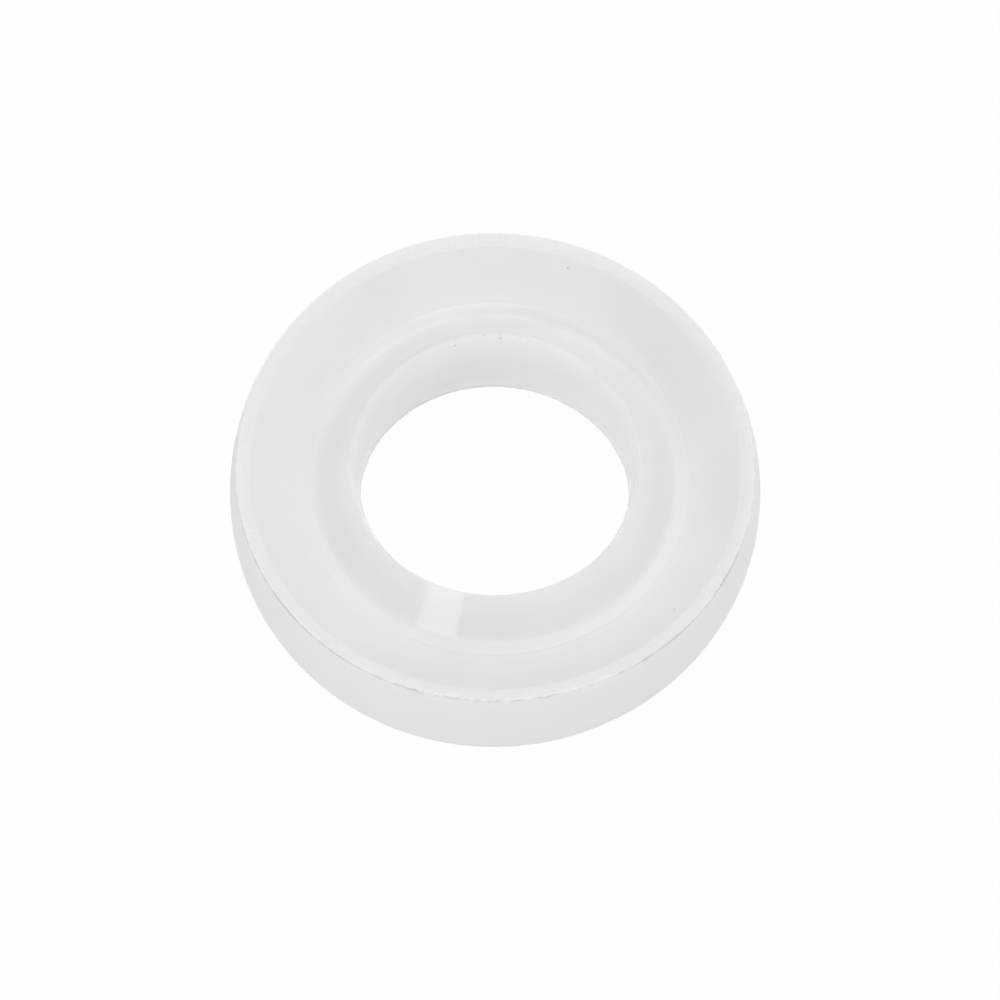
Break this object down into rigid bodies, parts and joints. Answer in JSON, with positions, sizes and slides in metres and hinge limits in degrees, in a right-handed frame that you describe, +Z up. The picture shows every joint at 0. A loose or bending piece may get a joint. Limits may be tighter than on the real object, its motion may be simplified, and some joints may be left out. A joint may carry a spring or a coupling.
{
  "type": "locking ring",
  "caption": "Moulded locking ring: a short barrel-shaped collar with a waisted bore, a dished top and a raised sharp lip round the bore.",
  "frame": {"origin": "on the ring's axis, in the plane of the flat underside", "axes": "+Z up along the ring's axis, from the flat underside to the dished top; the ring is the same all round, so +X and +Y are free"},
  "size_m": [0.04, 0.04, 0.011],
  "materials": {
    "milky_plastic": "satin, milky and slightly translucent, as moulded"
  },
  "bodies": {
    "root": {"locking_ring": "milky_plastic"}
  },
  "joints": []
}
